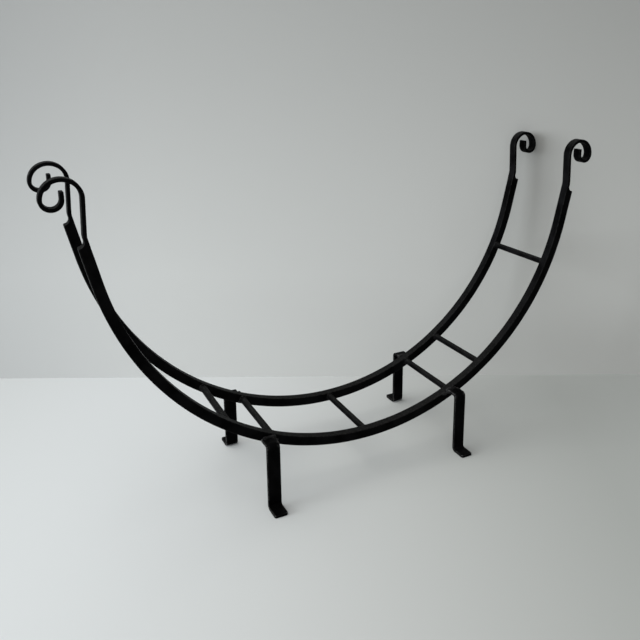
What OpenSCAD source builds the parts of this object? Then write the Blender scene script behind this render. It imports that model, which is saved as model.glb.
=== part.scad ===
// Log holder for the hearth. Two curved rails of square bar end in scrolls, round rungs
// join them, and four bent straps stand them on the floor. All of it is black painted steel.
// Millimetres, with +Z up and the rails along X. The origin is on the floor, under the middle.
// Each piece is a solid of its own, which meets the next one face to face under a weld bead.

/* [Rails] */
// Radius of the cradle's curve, on the face that the logs lie on
rail_r = 370; // [300:5:450]
// Side of the square bar
bar = 14; // [11:1:18]
// Angle from the bottom of the curve to where the bar runs straight
arc_angle = 77; // [70:1:85]
// Length of the straight stretch above the curve
end_run = 50.5; // [20:0.5:80]
// Rounding of the bar's outer corner where it is cut
end_round = 2; // [0.5:0.5:2]
// Clear width between the two rails
rail_gap = 120; // [80:5:200]
// Height of the rails' lowest point above the floor
rail_clear = 55.5; // [35:0.5:100]

/* [Scrolls] */
// Thickness of the strap that the bar's end is drawn down to
strap_t = 5; // [3:0.5:6]
// Radius of the hollow fillet between the bar's cut end and the strap
shoulder_r = 6.5; // [2:0.5:7]
// Straight strap between the fillet and the kink
kink_gap = 2; // [1:0.5:10]
// Radius of the kink, on the strap's inner face
kink_r = 18; // [10:1:40]
// Angle of the kink, which brings the strap upright
kink_angle = 15.5; // [5:0.5:25]
// Straight strap between the kink and the scroll
neck = 42.5; // [20:0.5:80]
// Outside radius of the scroll's first turn
scroll_r = 25; // [20:0.5:32]
// Outside radius of the scroll's second turn, the eye
eye_r = 14; // [10:0.5:15]
// Straight tip inside the scroll
tip = 9; // [4:0.5:10]

/* [Rungs] */
// Diameter of the round rungs
rung_d = 10; // [6:0.5:10]
// Angle of the inner pair of rungs from the middle one
inner_rung_angle = 23.8; // [15:0.2:27]
// Angle of the next pair
next_rung_angle = 34.6; // [31:0.2:45]
// Angle of the top pair
top_rung_angle = 65.5; // [55:0.5:69]

/* [Legs] */
// Width of the leg strap
leg_w = 20; // [14:1:30]
// Thickness of the leg strap
leg_t = 4; // [3:0.5:6]
// Distance of the left pair of legs from the middle of the cradle
left_leg_x = 163; // [120:1:185]
// Distance of the right pair, which stands a little nearer
right_leg_x = 155; // [120:1:185]
// How far the leg's outer face stands out from the side of the rail
leg_out = 21.5; // [15:0.5:35]
// Radius on the inside of the leg's two bends
leg_bend_r = 3; // [2:0.5:5]
// How far the foot reaches beyond the leg's outer face
foot_len = 23.5; // [15:0.5:40]
// Rounding of the two corners at the foot's tip
foot_round = 3.5; // [1:0.5:6]

/* [Welds] */
// Radius of the bead around a leg's tab
leg_weld = 2.8; // [2:0.1:3]
// Radius of the bead around a rung's end
rung_weld = 1.8; // [1:0.1:2]

/* [Hidden] */
$fn = 96;
// How far the flats of a bend may lie inside its true curve
curve_error = 0.03;
// How far a cutter reaches past what it cuts
past = 1;

// The rail's middle line, its side face and the centre of its curve
bar_r = rail_r + bar / 2;
rail_side = rail_gap / 2 + bar;
arc_z = rail_clear + bar + rail_r;
right_rungs = [inner_rung_angle, next_rung_angle, top_rung_angle];

// The fillet is limited by the step that it fills
shoulder = min(shoulder_r, bar - strap_t - end_round);
// The scroll's first turn ends pointing straight down, and the eye turns it up again
heading_up = 90;
heading_down = -heading_up;
scroll_angle = arc_angle + kink_angle - heading_down;
eye_angle = heading_up - heading_down;

// All four legs are alike. Their foot lies on the floor, and their tab meets the rail's side at
// the height of the bar's middle, halfway between where the left and the right pair stand.
function bar_z(x) = arc_z - sqrt(bar_r * bar_r - x * x);
leg_outer_r = leg_bend_r + leg_t;
tab_mid = (bar_z(left_leg_x) + bar_z(right_leg_x)) / 2;
tab_top = tab_mid + leg_t / 2;
tab_low = tab_mid - leg_t / 2;
foot_tip = rail_side + leg_out + foot_len;
function leg_x(end) = end == "left" ? left_leg_x : right_leg_x;

// How far a bead runs from the tab's inboard edge, at most to the rail's lower edge
function under_x(z) = sqrt(pow(rail_r + bar, 2) - pow(arc_z - z, 2));
function bead_length(end, z) = min(leg_w, under_x(z) - leg_x(end) + leg_w / 2) - leg_weld;

sides = ["front", "rear"];
ends = ["left", "right"];
rung_angles = concat([for (i = [2 : -1 : 0]) -right_rungs[i]], [0], right_rungs);
rung_count = len(rung_angles);
function rung_name(i) = str("rung_", i + 1);
function rung_weld_name(i, side) = str(rung_name(i), "_", side, "_weld");
function leg_name(side, end) = str(side, "_", end, "_leg");
function leg_weld_name(side, end) = str(leg_name(side, end), "_weld");

paint = [0.09, 0.09, 0.095];
bead_paint = [0.13, 0.13, 0.135];

// A path is a list of stretches: [length] runs straight, and [radius, turn] is a bend, to the
// left where the turn is positive. A station on the path is [place, heading].
function turned(v, angle) = [
    v.x * cos(angle) - v.y * sin(angle),
    v.x * sin(angle) + v.y * cos(angle)
];
function beside(station, v) = station[0] + turned(v, station[1]);
function last(list) = list[len(list) - 1];
function backward(list) = [for (i = [len(list) - 1 : -1 : 0]) list[i]];
function steps(radius, turn) = ceil(abs(turn) / (2 * acos(1 - curve_error / radius)));

// The point that a bend has reached after a turn, seen from its start
function bent(radius, turn) = [
    radius * sin(abs(turn)),
    sign(turn) * radius * (1 - cos(turn))
];

// The stations along one stretch, after its start
function stretch(piece, at) =
    len(piece) == 1
        ? [[beside(at, [piece[0], 0]), at[1]]]
        : [for (i = [1 : steps(piece[0], piece[1])])
            let (turn = piece[1] * i / steps(piece[0], piece[1]))
                [beside(at, bent(piece[0], turn)), at[1] + turn]];

// The stations along a path, with its start
function route(path, at, i = 0) =
    i == len(path)
        ? [at]
        : let (next = stretch(path[i], at))
            concat([at], [for (j = [0 : 1 : len(next) - 2]) next[j]], route(path, last(next), i + 1));

// The line that keeps a distance to the left of a route
function edge(stations, off) = [for (station = stations) beside(station, [0, off])];

// The points of an arc about a centre, beside a station
function arc(station, centre, radius, from, to) = [
    for (i = [0 : steps(radius, to - from)])
        let (angle = from + (to - from) * i / steps(radius, to - from))
            beside(station, centre + radius * [cos(angle), sin(angle)])
];

// What lies between a square corner at the origin and the arc that rounds it
module corner(r) {
    difference() {
        translate([-past, -past])
            square(r + past);
        translate([r, r])
            circle(r);
    }
}

// The line of the rail's inner face, from the bottom of the curve to the right scroll's tip.
// The bar lies on its right hand: first its full thickness, then the strap's.
bar_line = route([[rail_r, arc_angle], [end_run]], [[0, -rail_r], 0]);
cut = last(bar_line);
strap_line = route(
    [
        [shoulder + kink_gap],
        [kink_r, kink_angle],
        [neck],
        [scroll_r, -scroll_angle],
        [eye_r, -eye_angle],
        [tip]
    ],
    cut
);
// The cut end, from the strap down to the bar's outer face: hollow fillet, then rounded corner
shoulder_line = concat(
    arc(cut, [shoulder, -strap_t - shoulder], shoulder, 90, 180),
    arc(cut, [-end_round, end_round - bar], end_round, 0, -90)
);
half_rail = concat(
    edge(bar_line, 0),
    [for (point = edge(strap_line, 0)) if (point != cut[0]) point],
    [for (i = [len(strap_line) - 1 : -1 : 1]) beside(strap_line[i], [0, -strap_t])],
    shoulder_line,
    [for (i = [len(bar_line) - 2 : -1 : 0]) beside(bar_line[i], [0, -bar])]
);

// A rail in one piece, forged from one bar: the curve and its two scrolled ends. Its outline
// is the right half and the same half mirrored, which share their points at the bottom.
module rail() {
    left_half = [for (i = [len(half_rail) - 2 : -1 : 1]) [-half_rail[i].x, half_rail[i].y]];
    color(paint)
        translate([0, bar / 2, arc_z])
            rotate([90, 0, 0])
                linear_extrude(bar)
                    polygon(concat(half_rail, left_half));
}

module front_rail() {
    translate([0, -(rail_gap + bar) / 2, 0])
        rail();
}

module rear_rail() {
    translate([0, (rail_gap + bar) / 2, 0])
        rail();
}

// Puts what follows at the middle of the rail's bar, at an angle from the bottom
module on_rail(angle) {
    translate([bar_r * sin(angle), 0, arc_z - bar_r * cos(angle)])
        children();
}

module rung(i) {
    color(paint)
        on_rail(rung_angles[i])
            translate([0, rail_gap / 2, 0])
                rotate([90, 0, 0])
                    cylinder(h = rail_gap, d = rung_d);
}

// The section of a weld bead, which fills the corner between two faces
module bead_section(r) {
    intersection() {
        circle(r);
        square(r);
    }
}

// The bead around a rung's end, against the inner side of the front or rear rail
module rung_weld(i, side) {
    color(bead_paint)
        mirror([0, side == "rear" ? 1 : 0, 0])
            on_rail(rung_angles[i])
                translate([0, -rail_gap / 2, 0])
                    rotate([-90, 0, 0])
                        rotate_extrude()
                            translate([rung_d / 2, 0])
                                bead_section(rung_weld);
}

// Legs and their beads are drawn at the rear right, and mirrored to their own corner
module at_corner(side, end) {
    mirror([0, side == "front" ? 1 : 0, 0])
        mirror([end == "left" ? 1 : 0, 0, 0])
            children();
}

// A leg's strap from the side, along its upper and outer face: tab, drop to the floor, foot
leg_line = route(
    [
        [leg_out - leg_outer_r],
        [leg_outer_r, heading_down],
        [tab_top - leg_outer_r - leg_t - leg_bend_r],
        [leg_bend_r, heading_up],
        [foot_len - leg_bend_r]
    ],
    [[rail_side, tab_top], 0]
);
leg_outline = concat(edge(leg_line, 0), backward(edge(leg_line, -leg_t)));

// A leg, bent from one strap, with the two corners of its foot rounded
module leg(side, end) {
    color(paint)
        at_corner(side, end)
            difference() {
                translate([leg_x(end) - leg_w / 2, 0, 0])
                    rotate([90, 0, 90])
                        linear_extrude(leg_w)
                            polygon(leg_outline);
                for (turn = [0, 1])
                    translate([leg_x(end), foot_tip, -past])
                        mirror([turn, 0, 0])
                            translate([-leg_w / 2, 0, 0])
                                mirror([0, 1, 0])
                                    linear_extrude(leg_t + 2 * past)
                                        corner(foot_round);
            }
}

// A bead along +X with its flat sides down and behind it, then what follows
module bead_run(length) {
    rotate([90, 0, 90])
        linear_extrude(length)
            mirror([1, 0])
                bead_section(leg_weld);
    translate([length, 0, 0])
        children();
}

// The bead's turn round a corner of the tab, from up to forward, then what follows
module bead_turn() {
    rotate([90, 0, 0])
        rotate_extrude(angle = 90)
            bead_section(leg_weld);
    rotate([0, 90, 0])
        children();
}

// The bead around the tab of a leg, on the side of the rail: along the top, down the
// inboard edge and below, as far as there is bar behind it. Its two ends are rounded.
module leg_bead(side, end) {
    top_length = bead_length(end, tab_top);
    low_length = bead_length(end, tab_low - leg_weld);
    color(bead_paint)
        at_corner(side, end)
            translate([leg_x(end) - leg_w / 2 + top_length, rail_side, tab_top])
                rotate([0, 0, 180]) {
                    bead_run(top_length)
                        bead_turn()
                            bead_run(leg_t)
                                bead_turn()
                                    bead_run(low_length)
                                        bead_turn();
                    rotate([0, -90, 0])
                        bead_turn();
                }
}

front_rail();
rear_rail();
for (i = [0 : rung_count - 1]) {
    rung(i);
    for (side = sides)
        rung_weld(i, side);
}
for (side = sides, end = ends) {
    leg(side, end);
    leg_bead(side, end);
}
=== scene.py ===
import math

import bmesh
import bpy
from mathutils import Matrix, Vector, noise


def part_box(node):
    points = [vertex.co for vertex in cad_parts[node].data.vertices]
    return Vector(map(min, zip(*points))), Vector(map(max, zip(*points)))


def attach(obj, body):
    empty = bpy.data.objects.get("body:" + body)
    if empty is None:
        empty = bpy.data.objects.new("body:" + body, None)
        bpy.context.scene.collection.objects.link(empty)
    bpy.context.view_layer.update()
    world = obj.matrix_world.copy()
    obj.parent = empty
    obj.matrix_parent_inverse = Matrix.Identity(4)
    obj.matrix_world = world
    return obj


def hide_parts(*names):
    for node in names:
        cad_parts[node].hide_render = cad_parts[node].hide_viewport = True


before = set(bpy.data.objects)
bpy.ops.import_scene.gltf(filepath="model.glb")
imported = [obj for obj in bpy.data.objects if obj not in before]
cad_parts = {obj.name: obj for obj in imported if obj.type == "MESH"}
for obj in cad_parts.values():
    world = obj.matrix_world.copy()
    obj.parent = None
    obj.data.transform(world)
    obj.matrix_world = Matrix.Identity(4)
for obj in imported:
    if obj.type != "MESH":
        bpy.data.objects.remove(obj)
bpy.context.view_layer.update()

# Sizes in metres. What the frame's boxes give is read from them, and the rest is named here.
MM = 0.001
RAIL_LOW, RAIL_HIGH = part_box("rear_rail")
BAR = RAIL_HIGH.y - RAIL_LOW.y
RAIL_MID_Y = (RAIL_HIGH.y + RAIL_LOW.y) / 2
RAIL_SIDE_Y = RAIL_HIGH.y
RAIL_R = 370 * MM
ARC_ANGLE = 77
END_RUN = 50.5 * MM
END_ROUND = 2 * MM
STRAP_T = 5 * MM
SHOULDER_R = 6.5 * MM
KINK_GAP = 2 * MM
KINK_R = 18 * MM
KINK_ANGLE = 15.5
NECK = 42.5 * MM
SCROLL_R = 25 * MM
EYE_R = 14 * MM
TIP = 9 * MM
ARC_Z = RAIL_LOW.z + BAR + RAIL_R
UP, DOWN = 90, -90

LEG_LOW, LEG_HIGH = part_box("rear_right_leg")
LEG_W = LEG_HIGH.x - LEG_LOW.x
LEG_T = 4 * MM
LEG_BEND_R = 3 * MM
LEG_OUTER_R = LEG_BEND_R + LEG_T
FOOT_LEN = 23.5 * MM
FOOT_ROUND = 3.5 * MM
FOOT_STEPS = 12
TAB_SINK = 0.5 * MM
TAB_TOP = LEG_HIGH.z
LEG_OUT = LEG_HIGH.y - FOOT_LEN - RAIL_SIDE_Y

# How finely the curves are drawn, and how round the rolled edges of the stock are. EDGE_LIMIT is
# the largest rounding, as a share of a section's thickness.
CURVE_ERROR = 0.008 * MM
SECTION_STEP = 4 * MM
QUARTER_STEPS = 10
EDGE_STEPS = 3
FLAT_STEPS = 3
SHARP_ANGLE = 40
BAR_EDGE = 1.1 * MM
STRAP_EDGE = 0.8 * MM
LEG_EDGE = 0.8 * MM
EDGE_LIMIT = 0.45

# How far the faces dip, in metres, and the scale of the noise that they follow
RAIL_DIPS = (0.22 * MM, 45.0)
RUNG_DIPS = (0.12 * MM, 60.0)
LEG_DIPS = (0.15 * MM, 55.0)
# The shoulder starts this far past the cut, so that no two sections of a rail are the same
SHOULDER_SHIFT = 0.02 * MM
# Where the last sections before a tip lie, as shares of the edge's rounding back from it, and how
# much of that rounding's inset a section near a cut end takes
END_SECTIONS = (0.8, 0.45, 0.2, 0.0)
END_SHARE = 0.95


# Paths, as in the part's source: (length,) runs straight and (radius, turn) is a bend, to the
# left where the turn is positive. A station is (x, height, heading in degrees).
def beside(station, along, left):
    x, z, heading = station
    c, s = math.cos(math.radians(heading)), math.sin(math.radians(heading))
    return x + along * c - left * s, z + along * s + left * c


def stations(path, start):
    """The stations along a path, close enough together to draw its curves smoothly."""
    out = [start]
    for piece in path:
        at = out[-1]
        if len(piece) == 1:
            count = max(1, math.ceil(piece[0] / SECTION_STEP))
            for i in range(1, count + 1):
                out.append((*beside(at, piece[0] * i / count, 0), at[2]))
        else:
            radius, turn = piece
            step = 2 * math.degrees(math.acos(1 - CURVE_ERROR / radius))
            count = math.ceil(abs(turn) / step)
            for i in range(1, count + 1):
                part = math.radians(turn * i / count)
                left = math.copysign(radius * (1 - math.cos(part)), turn)
                spot = beside(at, radius * math.sin(abs(part)), left)
                out.append((*spot, at[2] + turn * i / count))
    return out


def rail_sections():
    """Pairs of inner and outer points of half a rail, from the bottom of its curve to the tip."""
    bar_line = stations([(RAIL_R, ARC_ANGLE), (END_RUN - END_ROUND,)], (0, ARC_Z - RAIL_R, 0))
    pairs = [(s[:2], beside(s, 0, -BAR)) for s in bar_line]
    cut = (*beside(bar_line[-1], END_ROUND, 0), bar_line[-1][2])
    quarter = [math.radians(90 * i / QUARTER_STEPS) for i in range(QUARTER_STEPS + 1)]
    for a in quarter[1:]:
        outer = (-END_ROUND * (1 - math.sin(a)), END_ROUND * (1 - math.cos(a)) - BAR)
        pairs.append((beside(cut, outer[0], 0), beside(cut, *outer)))
    for a in quarter:
        outer = (SHOULDER_R * (1 - math.cos(a)), SHOULDER_R * (math.sin(a) - 1) - STRAP_T)
        pairs.append((beside(cut, outer[0] + SHOULDER_SHIFT, 0), beside(cut, *outer)))
    start = (*beside(cut, SHOULDER_R, 0), cut[2])
    scroll_angle = ARC_ANGLE + KINK_ANGLE - DOWN
    neck = [(KINK_GAP,), (KINK_R, KINK_ANGLE), (NECK,)]
    scroll = [(SCROLL_R, -scroll_angle), (EYE_R, DOWN - UP), (TIP,)]
    strap = stations(neck + scroll, start)
    pairs += [(s[:2], beside(s, 0, -STRAP_T)) for s in strap[1:]]
    return pairs, len(bar_line)


# Meshes
def section_ring(a, b, across, half, edge, inset=0.0):
    """A rounded rectangle from point a to point b, and half to each side of them along across."""
    down = (b - a).normalized()
    thick = (b - a).length - inset
    half -= inset
    edge = min(edge, EDGE_LIMIT * (thick - inset))
    corners = [
        (inset + edge, -half + edge, 270), (inset + edge, half - edge, 180),
        (thick - edge, half - edge, 90), (thick - edge, -half + edge, 0),
    ]
    points = []
    for d, w, turn in corners:
        for k in range(EDGE_STEPS + 1):
            angle = math.radians(turn - 90 * k / EDGE_STEPS)
            depth, side = d + edge * math.cos(angle), w + edge * math.sin(angle)
            points.append(a + down * depth + across * side)
    ring = []
    for i, p in enumerate(points):
        ring.append(p)
        if (i + 1) % (EDGE_STEPS + 1) == 0:
            q = points[(i + 1) % len(points)]
            ring += [p.lerp(q, k / FLAT_STEPS) for k in range(1, FLAT_STEPS)]
    return ring


def end_inset(distance, edge):
    """How much smaller a section is near a cut end, so that the edges of the cut are rounded."""
    return edge - math.sqrt(edge ** 2 - max(0.0, edge - distance) ** 2)


def lofted(name, rings, closed=False):
    """A mesh through rings of points, with its two ends filled, or joined where it is closed."""
    mesh = bmesh.new()
    rows = [[mesh.verts.new(p) for p in ring] for ring in rings]
    count = len(rings[0])
    last = len(rows) if closed else len(rows) - 1
    for i in range(last):
        here, there = rows[i], rows[(i + 1) % len(rows)]
        for k in range(count):
            n = (k + 1) % count
            mesh.faces.new((here[k], here[n], there[n], there[k]))
    if not closed:
        mesh.faces.new(rows[0])
        mesh.faces.new(rows[-1])
    bmesh.ops.recalc_face_normals(mesh, faces=mesh.faces)
    data = bpy.data.meshes.new(name)
    mesh.to_mesh(data)
    mesh.free()
    data.shade_smooth()
    data.set_sharp_from_angle(angle=math.radians(SHARP_ANGLE))
    piece = bpy.data.objects.new(name, data)
    bpy.context.scene.collection.objects.link(piece)
    weighted = piece.modifiers.new("weighted_normals", "WEIGHTED_NORMAL")
    weighted.keep_sharp = True
    return piece


def uneven(rings, size, scale, seed):
    """The rings drawn in a little here and there, as forged and painted steel is.

    Each seed reads the noise at a place of its own.
    """
    shift = Vector((seed * 3.7, seed * 1.3, seed * 2.1))
    out = []
    for ring in rings:
        centre = sum(ring, Vector()) / len(ring)
        moved = []
        for p in ring:
            dip = (1 - noise.noise(p * scale + shift)) / 2 * size
            moved.append(p - (p - centre).normalized() * dip)
        out.append(moved)
    return out


def place(piece, node, material):
    """The piece stands for a CAD node, and rides on the only body."""
    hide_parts(node)
    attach(piece, "root")
    piece.data.materials.append(material)
    return piece


# Materials. FINE, COARSE and HAMMER are heights of bumps, THIN_PAINT is how many times lighter the
# paint is in its thin patches, and the last four numbers are sockets of a Mix node for colours.
FINE, COARSE, HAMMER = 0.12 * MM, 0.35 * MM, 0.6 * MM
THIN_PAINT = 4
MIX_FACTOR, MIX_FIRST, MIX_SECOND, MIX_RESULT = 0, 6, 7, 2


def node_maker(owner):
    """The node tree of a material or world, and a function that adds a node with its inputs set."""
    tree = owner.node_tree

    def new(kind, **inputs):
        made = tree.nodes.new(kind)
        for key, value in inputs.items():
            socket = made.inputs[key.replace("_", " ")]
            if isinstance(value, bpy.types.NodeSocket):
                tree.links.new(value, socket)
            else:
                socket.default_value = value
        return made

    return tree, new


def ramp(new, factor, stops, between="LINEAR"):
    """A colour ramp with stops of (place from 0 to 1, grey or colour)."""
    made = new("ShaderNodeValToRGB", Fac=factor)
    made.color_ramp.interpolation = between
    elements = made.color_ramp.elements
    while len(elements) < len(stops):
        elements.new(0.5)
    for element, (place_at, value) in zip(elements, stops):
        element.position = place_at
        element.color = (*value, 1) if isinstance(value, tuple) else (value, value, value, 1)
    return made.outputs["Color"]


def mixed(new, factor, first, second):
    """The colour between first and second."""
    made = new("ShaderNodeMix")
    made.data_type = "RGBA"
    tree = made.id_data
    for index, value in ((MIX_FACTOR, factor), (MIX_FIRST, first), (MIX_SECOND, second)):
        if isinstance(value, bpy.types.NodeSocket):
            tree.links.new(value, made.inputs[index])
        else:
            made.inputs[index].default_value = (*value, 1) if isinstance(value, tuple) else value
    return made.outputs[MIX_RESULT]


def combined(new, operation, first, second):
    """The result of a math operation on two values."""
    made = new("ShaderNodeMath")
    made.operation = operation
    made.id_data.links.new(first, made.inputs[0])
    made.id_data.links.new(second, made.inputs[1])
    return made.outputs[0]


def black_paint(name, deep, edge_wear_and_highlight, dust_and_top_light, dust_and_light_layout, rough, grain, sheen):
    """Brushed black paint on steel: uneven in tone and gloss, dusty on top, rubbed along the edges.
    Upward faces are lighter, partly dusty and partly a painted highlight of the light from above,
    and edges are lighter, partly rubbed and partly a painted edge highlight.

    dusting is the scale of the blotches on top, and how much of the top colour lies between them and
    in them.
    rough is about the middle roughness, grain the depth of the fine bumps, sheen the specular level.
    """
    spot_scale, spot_between, spot_within = dust_and_light_layout
    material = bpy.data.materials.new(name)
    material.use_nodes = True
    tree, new = node_maker(material)
    tree.nodes.clear()
    place_on = new("ShaderNodeTexCoord").outputs["Object"]
    patches = new("ShaderNodeTexNoise", Vector=place_on, Scale=38.0, Detail=5.0, Roughness=0.6)
    specks = new("ShaderNodeTexNoise", Vector=place_on, Scale=420.0, Detail=4.0, Roughness=0.65)
    peel = new("ShaderNodeTexNoise", Vector=place_on, Scale=1500.0, Detail=2.0, Roughness=0.5)
    dents = new("ShaderNodeTexNoise", Vector=place_on, Scale=95.0, Detail=1.0, Roughness=0.4)
    geometry = new("ShaderNodeNewGeometry")

    lighter = tuple(c * THIN_PAINT for c in deep)
    tone = mixed(new, ramp(new, patches.outputs["Fac"], [(0.38, 0.0), (0.62, 1.0)]), deep, lighter)
    facing = new("ShaderNodeSeparateXYZ", Vector=geometry.outputs["Normal"])
    # Faces that look upward are made lighter: partly dusty, partly a painted highlight of the light
    # from above.
    on_top = ramp(new, facing.outputs["Z"], [(0.45, 0.0), (0.95, 1.0)])
    blotches = new("ShaderNodeTexNoise", Vector=place_on, Detail=4.0, Roughness=0.6)
    blotches.inputs["Scale"].default_value = spot_scale
    top_spots = ramp(new, blotches.outputs["Fac"], [(0.47, spot_between), (0.60, spot_within)])
    tone = mixed(new, combined(new, "MULTIPLY", on_top, top_spots), tone, dust_and_top_light)
    # Edges are made lighter: partly rubbed paint, partly a painted edge highlight.
    edge_mask = ramp(new, geometry.outputs["Pointiness"], [(0.516, 0.0), (0.57, 1.0)])
    broken = ramp(new, specks.outputs["Fac"], [(0.46, 0.0), (0.58, 0.8)])
    tone = mixed(new, combined(new, "MULTIPLY", edge_mask, broken), tone, edge_wear_and_highlight)

    gloss = ramp(new, patches.outputs["Fac"], [(0.3, rough - 0.07), (0.72, rough + 0.09)])
    fine = new("ShaderNodeBump", Height=peel.outputs["Fac"], Strength=0.35, Distance=FINE * grain)
    coarse = new("ShaderNodeBump", Height=specks.outputs["Fac"], Strength=0.5)
    coarse.inputs["Distance"].default_value = COARSE * grain
    hammer = new("ShaderNodeBump", Height=dents.outputs["Fac"], Strength=0.25, Distance=HAMMER)
    tree.links.new(fine.outputs["Normal"], coarse.inputs["Normal"])
    tree.links.new(coarse.outputs["Normal"], hammer.inputs["Normal"])
    shader = new("ShaderNodeBsdfPrincipled")
    tree.links.new(tone, shader.inputs["Base Color"])
    tree.links.new(gloss, shader.inputs["Roughness"])
    tree.links.new(hammer.outputs["Normal"], shader.inputs["Normal"])
    shader.inputs["Specular IOR Level"].default_value = sheen
    out = new("ShaderNodeOutputMaterial")
    tree.links.new(shader.outputs["BSDF"], out.inputs["Surface"])
    return material


# Colours of the paint, of the tops, which are dusty and carry a painted highlight of the light from
# above, and of the edges, which are rubbed and carry a painted edge highlight, and how the patches
# on the tops lie. They are far darker than a paint chip, because the photograph shows the front
# faces close to black.
DEEP = (0.0011, 0.0011, 0.0012)
WORN_EDGE_AND_HIGHLIGHT = (0.04, 0.039, 0.038)
TOP_DUST_AND_LIGHT = (0.0185, 0.0185, 0.018)
EVEN_DUST_AND_LIGHT = (420.0, 0.25, 0.85)
BLOTCHED_DUST_AND_LIGHT = (330.0, 0.0, 1.0)
THICK_DUST_AND_LIGHT = (0.025, 0.025, 0.0245)
FAINT_DUST_AND_LIGHT = (0.002, 0.002, 0.002)
BARE_EDGE_AND_HIGHLIGHT = (0.20, 0.198, 0.195)
BARE = (0.006, 0.006, 0.0062)
rail_paint = black_paint("rail_paint", DEEP, WORN_EDGE_AND_HIGHLIGHT, TOP_DUST_AND_LIGHT, EVEN_DUST_AND_LIGHT, 0.44, 1.0, 0.012)
rung_paint = black_paint("rung_paint", DEEP, WORN_EDGE_AND_HIGHLIGHT, TOP_DUST_AND_LIGHT, EVEN_DUST_AND_LIGHT, 0.46, 0.9, 0.015)
leg_paint = black_paint("leg_paint", DEEP, BARE_EDGE_AND_HIGHLIGHT, FAINT_DUST_AND_LIGHT, BLOTCHED_DUST_AND_LIGHT, 0.32, 1.5, 0.01)
bead_paint = black_paint("bead_paint", DEEP, WORN_EDGE_AND_HIGHLIGHT, TOP_DUST_AND_LIGHT, EVEN_DUST_AND_LIGHT, 0.36, 1.3, 0.02)
weld_paint = black_paint("weld_paint", BARE, WORN_EDGE_AND_HIGHLIGHT, THICK_DUST_AND_LIGHT, BLOTCHED_DUST_AND_LIGHT, 0.34, 1.5, 0.025)


# Rails
ACROSS_Y = Vector((0, 1, 0))
ACROSS_X = Vector((1, 0, 0))
UPWARD = Vector((0, 0, 1))


def rail_rings(y):
    """The sections of a rail whose middle is at y, from its left tip to its right tip."""
    pairs, bar_count = rail_sections()
    half = []
    for i, (a, b) in enumerate(pairs):
        edge = BAR_EDGE if i < bar_count else STRAP_EDGE
        inner, outer = Vector((a[0], y, a[1])), Vector((b[0], y, b[1]))
        half.append(section_ring(inner, outer, ACROSS_Y, BAR / 2, edge))
    along = (half[-1][0] - half[-2][0]).normalized()
    tip = [Vector((pair[0], y, pair[1])) for pair in pairs[-1]]
    half.pop()
    for back in END_SECTIONS:
        a, b = (p - along * back * STRAP_EDGE for p in tip)
        inset = end_inset(back * STRAP_EDGE, STRAP_EDGE)
        half.append(section_ring(a, b, ACROSS_Y, BAR / 2, STRAP_EDGE, END_SHARE * inset))
    left = [[Vector((-p.x, p.y, p.z)) for p in ring] for ring in half[:0:-1]]
    return left + half


for seed, (side, sign) in enumerate((("front", -1), ("rear", 1))):
    rings = uneven(rail_rings(sign * RAIL_MID_Y), *RAIL_DIPS, seed + 1)
    place(lofted(f"{side}_rail_iron", rings), f"{side}_rail", rail_paint)


# Rungs and the beads at their ends
RUNG_NAMES = sorted(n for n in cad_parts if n.startswith("rung_") and not n.endswith("weld"))
ROUND_STEPS = 48
RUNG_ROWS = 40
RUNG_SINK = 0.5 * MM
RUNG_BEAD = 1.7 * MM
RUNG_BEAD_ROWS = 72
RUNG_BEAD_STEPS = 16
RUNG_BEAD_RIPPLES = 14
# The bead's radius as shares of RUNG_BEAD: between ripples, in lumps, and on ripples
RUNG_BEAD_SHARES = (0.9, 0.3, 0.12)


def circle_ring(centre, radius, u, v, count=ROUND_STEPS):
    return [
        centre + (u * math.cos(a) + v * math.sin(a)) * radius
        for a in (2 * math.pi * i / count for i in range(count))
    ]


def rung_rings(node, seed):
    """The sections of a rung, which reaches a little into both rails."""
    low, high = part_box(node)
    centre = (low + high) / 2
    radius = (high.x - low.x) / 2
    rows = []
    for i in range(RUNG_ROWS + 1):
        y = low.y - RUNG_SINK + (high.y - low.y + 2 * RUNG_SINK) * i / RUNG_ROWS
        rows.append(circle_ring(Vector((centre.x, y, centre.z)), radius, ACROSS_X, UPWARD))
    return uneven(rows, *RUNG_DIPS, seed)


def ring_bead(node, sign, seed):
    """A lumpy ring of weld around a rung, in the corner between it and a rail's side."""
    low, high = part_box(node)
    centre = (low + high) / 2
    face_y = low.y if sign < 0 else high.y
    major = (high.x - low.x) / 2 - (high.y - low.y)
    least, lumps, ripples = RUNG_BEAD_SHARES
    rows = []
    for i in range(RUNG_BEAD_ROWS):
        a = 2 * math.pi * i / RUNG_BEAD_ROWS
        out = Vector((math.cos(a), 0, math.sin(a)))
        on = Vector((centre.x, face_y, centre.z)) + out * major
        lump = lumps * noise.noise(out * 1.7 + Vector((seed * 2.3, sign, 0)))
        ripple = ripples * abs(math.sin(a * RUNG_BEAD_RIPPLES / 2 + seed))
        radius = RUNG_BEAD * (least + lump + ripple)
        rows.append(circle_ring(on, radius, out, ACROSS_Y, RUNG_BEAD_STEPS))
    return rows


for number, node in enumerate(RUNG_NAMES, 1):
    place(lofted(f"{node}_iron", rung_rings(node, number)), node, rung_paint)
    for side, sign in (("front", -1), ("rear", 1)):
        weld = f"{node}_{side}_weld"
        bead = lofted(f"{node}_{side}_bead", ring_bead(weld, sign, number), closed=True)
        place(bead, weld, bead_paint)


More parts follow.
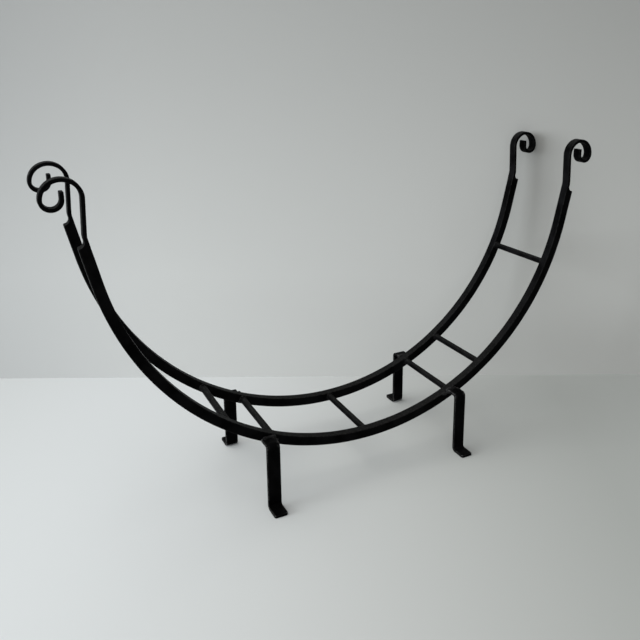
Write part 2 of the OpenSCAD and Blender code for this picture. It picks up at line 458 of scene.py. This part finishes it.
# Legs, drawn at the rear right and turned to their own corner
def leg_rings(inboard):
    """A leg's strap behind the rear rail, with its inboard edge at a distance from the middle."""
    tab = LEG_OUT - LEG_OUTER_R
    drop = TAB_TOP - LEG_OUTER_R - LEG_T - LEG_BEND_R
    foot = LEG_HIGH.y - RAIL_SIDE_Y - LEG_OUT - LEG_BEND_R - FOOT_ROUND
    line = stations(
        [(tab + TAB_SINK,), (LEG_OUTER_R, DOWN), (drop,), (LEG_BEND_R, UP), (foot,)],
        (RAIL_SIDE_Y - TAB_SINK, TAB_TOP, 0),
    )
    rows = []
    middle = inboard + LEG_W / 2

    def add(station, half, inset=0.0):
        a, b = station[:2], beside(station, 0, -LEG_T)
        inner, outer = Vector((middle, a[0], a[1])), Vector((middle, b[0], b[1]))
        rows.append(section_ring(inner, outer, ACROSS_X, half, LEG_EDGE, inset))

    for station in line:
        add(station, LEG_W / 2)
    for i in range(1, FOOT_STEPS + 1):
        a = math.radians(90 * i / FOOT_STEPS)
        at = (*beside(line[-1], FOOT_ROUND * math.sin(a), 0), line[-1][2])
        inset = end_inset(FOOT_ROUND * (1 - math.sin(a)), LEG_EDGE)
        add(at, LEG_W / 2 - FOOT_ROUND * (1 - math.cos(a)), END_SHARE * inset)
    return rows


def to_corner(side, end):
    """Factors that turn the rear right corner into another one."""
    return Vector((-1 if end == "left" else 1, -1 if side == "front" else 1, 1))


def moved(rings, corner):
    return [[Vector((p.x * corner.x, p.y * corner.y, p.z)) for p in ring] for ring in rings]


# The bead around a leg's tab, and the drops where the welder stopped. COIN is the length of one
# ripple along the bead. What is deep, lumpy or closed is a share of the bead's or drop's radius.
LEG_BEAD = 2.7 * MM
LEG_BEAD_STEPS = 20
BEAD_STEP = 0.35 * MM
BEAD_SMOOTHING = 6
BEAD_SHORT = 3 * MM
UNDER_TAB = 8 * MM
COIN = 1.9 * MM
COIN_DEPTH = 0.12
BEAD_LUMPS = 0.16
BEAD_CLOSED = 0.02
DROP_SHAPE = Vector((1.15, 0.75, 0.9))
DROP_LUMPS = 0.18


def bead_path(inboard):
    """Points along the edge of the tab: over its top, down its inboard edge and below it."""
    corners = [
        Vector((inboard + LEG_W - BEAD_SHORT, RAIL_SIDE_Y, TAB_TOP)),
        Vector((inboard, RAIL_SIDE_Y, TAB_TOP)),
        Vector((inboard, RAIL_SIDE_Y, TAB_TOP - LEG_T)),
        Vector((inboard + UNDER_TAB, RAIL_SIDE_Y, TAB_TOP - LEG_T)),
    ]
    points = []
    for a, b in zip(corners, corners[1:]):
        count = math.ceil((b - a).length / BEAD_STEP)
        points += [a.lerp(b, i / count) for i in range(count)]
    points.append(corners[-1])
    for _ in range(BEAD_SMOOTHING):
        middle = [(a + b * 2 + c) / 4 for a, b, c in zip(points, points[1:], points[2:])]
        points = [points[0], *middle, points[-1]]
    return points


def bead_rings(inboard, seed):
    """The bead's sections: rippled where the weld pool froze, uneven, and closed at both ends."""
    points = bead_path(inboard)
    steps = [0.0] + [(b - a).length for a, b in zip(points, points[1:])]
    total = sum(steps)
    rows = []
    travelled = 0.0
    for i, p in enumerate(points):
        travelled += steps[i]
        along = (points[min(i + 1, len(points) - 1)] - points[max(i - 1, 0)]).normalized()
        near_end = min(travelled, total - travelled)
        closing = math.sqrt(max(BEAD_CLOSED, 1 - (1 - min(1, near_end / LEG_BEAD)) ** 2))
        coin = (travelled / COIN + seed * 0.3) % 1.0
        ripple = COIN_DEPTH * (math.sqrt(1 - coin ** 2) - 1)
        lump = BEAD_LUMPS * noise.noise(p * 260 + Vector((seed * 1.9, 0, 0)))
        radius = LEG_BEAD * closing * (1 + ripple + lump)
        out = along.cross(ACROSS_Y).normalized()
        rows.append(circle_ring(p, radius, out, ACROSS_Y, LEG_BEAD_STEPS))
    return rows


def drop(name, centre, radius, seed):
    """A drop of weld metal, part sunk in what it lies on."""
    mesh = bmesh.new()
    bmesh.ops.create_icosphere(mesh, subdivisions=4, radius=1.0)
    for v in mesh.verts:
        push = 1 + DROP_LUMPS * noise.noise(v.co * 1.6 + Vector((seed * 5.1, 0, 0)))
        v.co = centre + v.co * DROP_SHAPE * radius * push
    data = bpy.data.meshes.new(name)
    mesh.to_mesh(data)
    mesh.free()
    data.shade_smooth()
    piece = bpy.data.objects.new(name, data)
    bpy.context.scene.collection.objects.link(piece)
    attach(piece, "root")
    data.materials.append(weld_paint)
    return piece


for seed, (side, end) in enumerate((s, e) for s in ("front", "rear") for e in ("left", "right")):
    corner = to_corner(side, end)
    node = f"{side}_{end}_leg"
    low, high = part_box(node)
    inboard = min(abs(low.x), abs(high.x))
    rings = moved(uneven(leg_rings(inboard), *LEG_DIPS, seed + 11), corner)
    place(lofted(f"{node}_iron", rings), node, leg_paint)
    bead = lofted(f"{node}_bead", moved(bead_rings(inboard, seed), corner))
    place(bead, f"{node}_weld", weld_paint)

# Drops where the tab meets the rail: the leg, and in millimetres the distance outward from the
# tab's inboard edge, the distance out from the rail's side, the height above the tab's middle,
# and the radius
DROPS = [
    ("front_left_leg", 14.5, 0.5, 2.2, 3.0),
    ("front_left_leg", -0.8, 4.0, -2.6, 3.0),
    ("front_right_leg", -4.5, 0.0, -4.0, 3.0),
    ("front_right_leg", -8.0, -0.4, -3.6, 2.4),
    ("rear_left_leg", 1.0, 0.0, 3.5, 2.6),
]
for number, (node, outward, out, above, size) in enumerate(DROPS, 1):
    corner = to_corner(*node.split("_")[:2])
    low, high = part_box(node)
    x = min(abs(low.x), abs(high.x)) + outward * MM
    y = RAIL_SIDE_Y + out * MM
    centre = Vector((corner.x * x, corner.y * y, TAB_TOP - LEG_T / 2 + above * MM))
    drop(f"weld_drop_{number}", centre, size * MM, number)


# Camera, solved from the photograph: its place, its turn and how its frame is shifted
CAMERA_AT = Vector((-0.47767, -0.91873, 0.62182))
CAMERA_YAW, CAMERA_PITCH, CAMERA_ROLL = 0.50352, 0.25468, 0.00318
FRAME_PX = 640
FOCAL_PX = 708.05
CENTRE_PX = (362.38, 238.14)
SENSOR = 36.0

camera_data = bpy.data.cameras.new("camera")
camera = bpy.data.objects.new("camera", camera_data)
bpy.context.scene.collection.objects.link(camera)
camera_data.sensor_width = SENSOR
camera_data.lens = FOCAL_PX * SENSOR / FRAME_PX
camera_data.shift_x = -(CENTRE_PX[0] - FRAME_PX / 2) / FRAME_PX
camera_data.shift_y = (CENTRE_PX[1] - FRAME_PX / 2) / FRAME_PX
camera_data.clip_start, camera_data.clip_end = 0.05, 30.0
camera.location = CAMERA_AT
camera.rotation_mode = "QUATERNION"
level = Matrix.Rotation(-CAMERA_YAW, 3, "Z") @ Matrix.Rotation(math.pi / 2 - CAMERA_PITCH, 3, "X")
camera.rotation_quaternion = (level @ Matrix.Rotation(CAMERA_ROLL, 3, "Z")).to_quaternion()
bpy.context.scene.camera = camera


# Floor and wall. The wall stands where the photograph shows its foot, and is seen only from its
# front, so that it hides nothing in views from behind. It throws no shadow and no light on the
# floor, so that the floor is the same before it and behind it.
def flat_piece(name, corners):
    data = bpy.data.meshes.new(name)
    data.from_pydata([tuple(c) for c in corners], [], [tuple(range(len(corners)))])
    piece = bpy.data.objects.new(name, data)
    bpy.context.scene.collection.objects.link(piece)
    return piece


def toned(new, position, direction, stops):
    """A smooth run of tones, with stops of (distance along the direction, tone)."""
    along = new("ShaderNodeVectorMath")
    along.operation = "DOT_PRODUCT"
    along.id_data.links.new(position, along.inputs[0])
    along.inputs[1].default_value = direction
    low, high = stops[0][0], stops[-1][0]
    share = new("ShaderNodeMapRange", Value=along.outputs["Value"])
    share.inputs["From Min"].default_value = low
    share.inputs["From Max"].default_value = high
    places = [((at - low) / (high - low), tone) for at, tone in stops]
    return ramp(new, share.outputs["Result"], places, "B_SPLINE")


def pale(name, tones_with_painted_light, painted_shade, one_sided=False):
    """A pale matt surface whose tone carries painted light and painted shade, changing slowly in two
    directions: (direction, stops) each.

    One that is one_sided is clear when it is seen from behind.
    """
    material = bpy.data.materials.new(name)
    material.use_nodes = True
    tree, new = node_maker(material)
    tree.nodes.clear()
    position = new("ShaderNodeTexCoord").outputs["Object"]
    painted_light_mix = new("ShaderNodeMix")
    painted_light_mix.data_type, painted_light_mix.blend_type = "RGBA", "MULTIPLY"
    painted_light_mix.inputs[MIX_FACTOR].default_value = 1.0
    tree.links.new(toned(new, position, *tones_with_painted_light), painted_light_mix.inputs[MIX_FIRST])
    tree.links.new(toned(new, position, *painted_shade), painted_light_mix.inputs[MIX_SECOND])
    grain = new("ShaderNodeTexNoise", Vector=position, Scale=220.0, Detail=3.0)
    bump = new("ShaderNodeBump", Height=grain.outputs["Fac"], Strength=0.08, Distance=0.4 * MM)
    shader = new("ShaderNodeBsdfPrincipled", Roughness=0.7)
    shader.inputs["Specular IOR Level"].default_value = 0.0
    tree.links.new(painted_light_mix.outputs[MIX_RESULT], shader.inputs["Base Color"])
    tree.links.new(bump.outputs["Normal"], shader.inputs["Normal"])
    surface = shader.outputs["BSDF"]
    if one_sided:
        both = new("ShaderNodeMixShader")
        tree.links.new(new("ShaderNodeNewGeometry").outputs["Backfacing"], both.inputs[0])
        tree.links.new(surface, both.inputs[1])
        tree.links.new(new("ShaderNodeBsdfTransparent").outputs["BSDF"], both.inputs[2])
        surface = both.outputs[0]
    out = new("ShaderNodeOutputMaterial")
    tree.links.new(surface, out.inputs["Surface"])
    return material


# FLOOR_TONES_WITH_PAINTED_LIGHT and WALL_TONES_WITH_PAINTED_LIGHT are pale tones with painted light
# that falls off along the wall's foot, the first from the origin and the second from the foot's
# middle. FLOOR_PAINTED_SHADE runs towards the wall and WALL_PAINTED_SHADE up it, and both are grey
# factors of painted shade that scale the tones. Places are in metres.
FLOOR_HALF = 5.0
FLOOR_TONES_WITH_PAINTED_LIGHT = [
    (-0.8, (0.64, 0.67, 0.67)), (-0.4, (0.80, 0.84, 0.86)),
    (0.0, (0.64, 0.66, 0.65)), (0.4, (0.41, 0.43, 0.41)),
]
FLOOR_PAINTED_SHADE = [(-0.4, 1.0), (0.24, 0.9)]
WALL_FOOT = [Vector((-0.4398, 0.5245, 0)), Vector((0.6263, -0.0332, 0))]
WALL_LENGTH, WALL_HEIGHT = 8.0, 4.0
WALL_TONES_WITH_PAINTED_LIGHT = [(-0.65, (0.51, 0.52, 0.52)), (-0.3, (0.68, 0.69, 0.68)), (0.6, (0.48, 0.48, 0.46))]
WALL_PAINTED_SHADE = [(0.1, 1.16), (0.8, 0.54)]

floor = flat_piece("floor", [
    (-FLOOR_HALF, -FLOOR_HALF, 0), (FLOOR_HALF, -FLOOR_HALF, 0),
    (FLOOR_HALF, FLOOR_HALF, 0), (-FLOOR_HALF, FLOOR_HALF, 0),
])
foot_along = (WALL_FOOT[1] - WALL_FOOT[0]).normalized()
to_wall = (-foot_along.y, foot_along.x, 0)
floor.data.materials.append(pale("pale_floor_painted_light", (foot_along, FLOOR_TONES_WITH_PAINTED_LIGHT), (to_wall, FLOOR_PAINTED_SHADE)))
foot_middle = (WALL_FOOT[0] + WALL_FOOT[1]) / 2
wall_left = foot_middle - foot_along * WALL_LENGTH / 2
wall_right = foot_middle + foot_along * WALL_LENGTH / 2
rise = UPWARD * WALL_HEIGHT
wall = flat_piece("wall", [wall_left, wall_right, wall_right + rise, wall_left + rise])
wall.visible_shadow = False
wall.visible_diffuse = False
middle_at = foot_middle.dot(foot_along)
wall_tones_with_painted_light = [(at + middle_at, tone) for at, tone in WALL_TONES_WITH_PAINTED_LIGHT]
pale_wall_painted_light = pale("pale_wall_painted_light", (foot_along, wall_tones_with_painted_light), (UPWARD, WALL_PAINTED_SHADE), one_sided=True)
wall.data.materials.append(pale_wall_painted_light)


# Light: cool daylight from a far window to the left, a weak lamp overhead, and a room that is
# brighter towards the window and the ceiling than behind the camera. What the camera and
# reflections see of the room is plain grey.
def lamp(name, kind, at, towards, strength, colour):
    data = bpy.data.lights.new(name, kind)
    data.energy = strength
    data.color = colour
    made = bpy.data.objects.new(name, data)
    bpy.context.scene.collection.objects.link(made)
    made.location = at
    made.rotation_mode = "QUATERNION"
    made.rotation_quaternion = (Vector(towards) - Vector(at)).to_track_quat("-Z", "Y")
    return data


# How wide the window looks, in degrees, and the side of the lamp overhead, in metres
WINDOW_ANGLE = 26
OVERHEAD_SIZE = 1.8
window = lamp("window", "SUN", (-2.6, 0.25, 0.52), (0, 0, 0.15), 3.0, (0.92, 0.97, 1.0))
window.angle = math.radians(WINDOW_ANGLE)
overhead = lamp("overhead", "AREA", (-1.0, 0.3, 1.9), (-0.3, 0.1, 0), 18, (1.0, 0.98, 0.94))
overhead.shape = "SQUARE"
overhead.size = OVERHEAD_SIZE

# The room's greys go by how far a direction points towards TO_WINDOW, which is nearly of length 1
ROOM_TONES = [(-0.7, 0.06), (0.0, 0.21), (0.8, 0.85)]
TO_WINDOW = (-0.80, 0.20, 0.565)
BACKDROP = (0.50, 0.50, 0.49, 1)
world = bpy.data.worlds.new("room")
bpy.context.scene.world = world
world.use_nodes = True
world_tree, world_new = node_maker(world)
world_tree.nodes.clear()
direction = world_new("ShaderNodeTexCoord").outputs["Generated"]
room = world_new("ShaderNodeBackground", Color=toned(world_new, direction, TO_WINDOW, ROOM_TONES))
backdrop = world_new("ShaderNodeBackground", Color=BACKDROP)
rays = world_new("ShaderNodeLightPath").outputs
mirrored = combined(world_new, "MAXIMUM", rays["Is Glossy Ray"], rays["Is Transmission Ray"])
looking = combined(world_new, "MAXIMUM", rays["Is Camera Ray"], mirrored)
seen = world_new("ShaderNodeMixShader", Fac=looking)
world_tree.links.new(room.outputs["Background"], seen.inputs[1])
world_tree.links.new(backdrop.outputs["Background"], seen.inputs[2])
world_out = world_new("ShaderNodeOutputWorld")
world_tree.links.new(seen.outputs["Shader"], world_out.inputs["Surface"])

bpy.context.scene.view_settings.view_transform = "Standard"
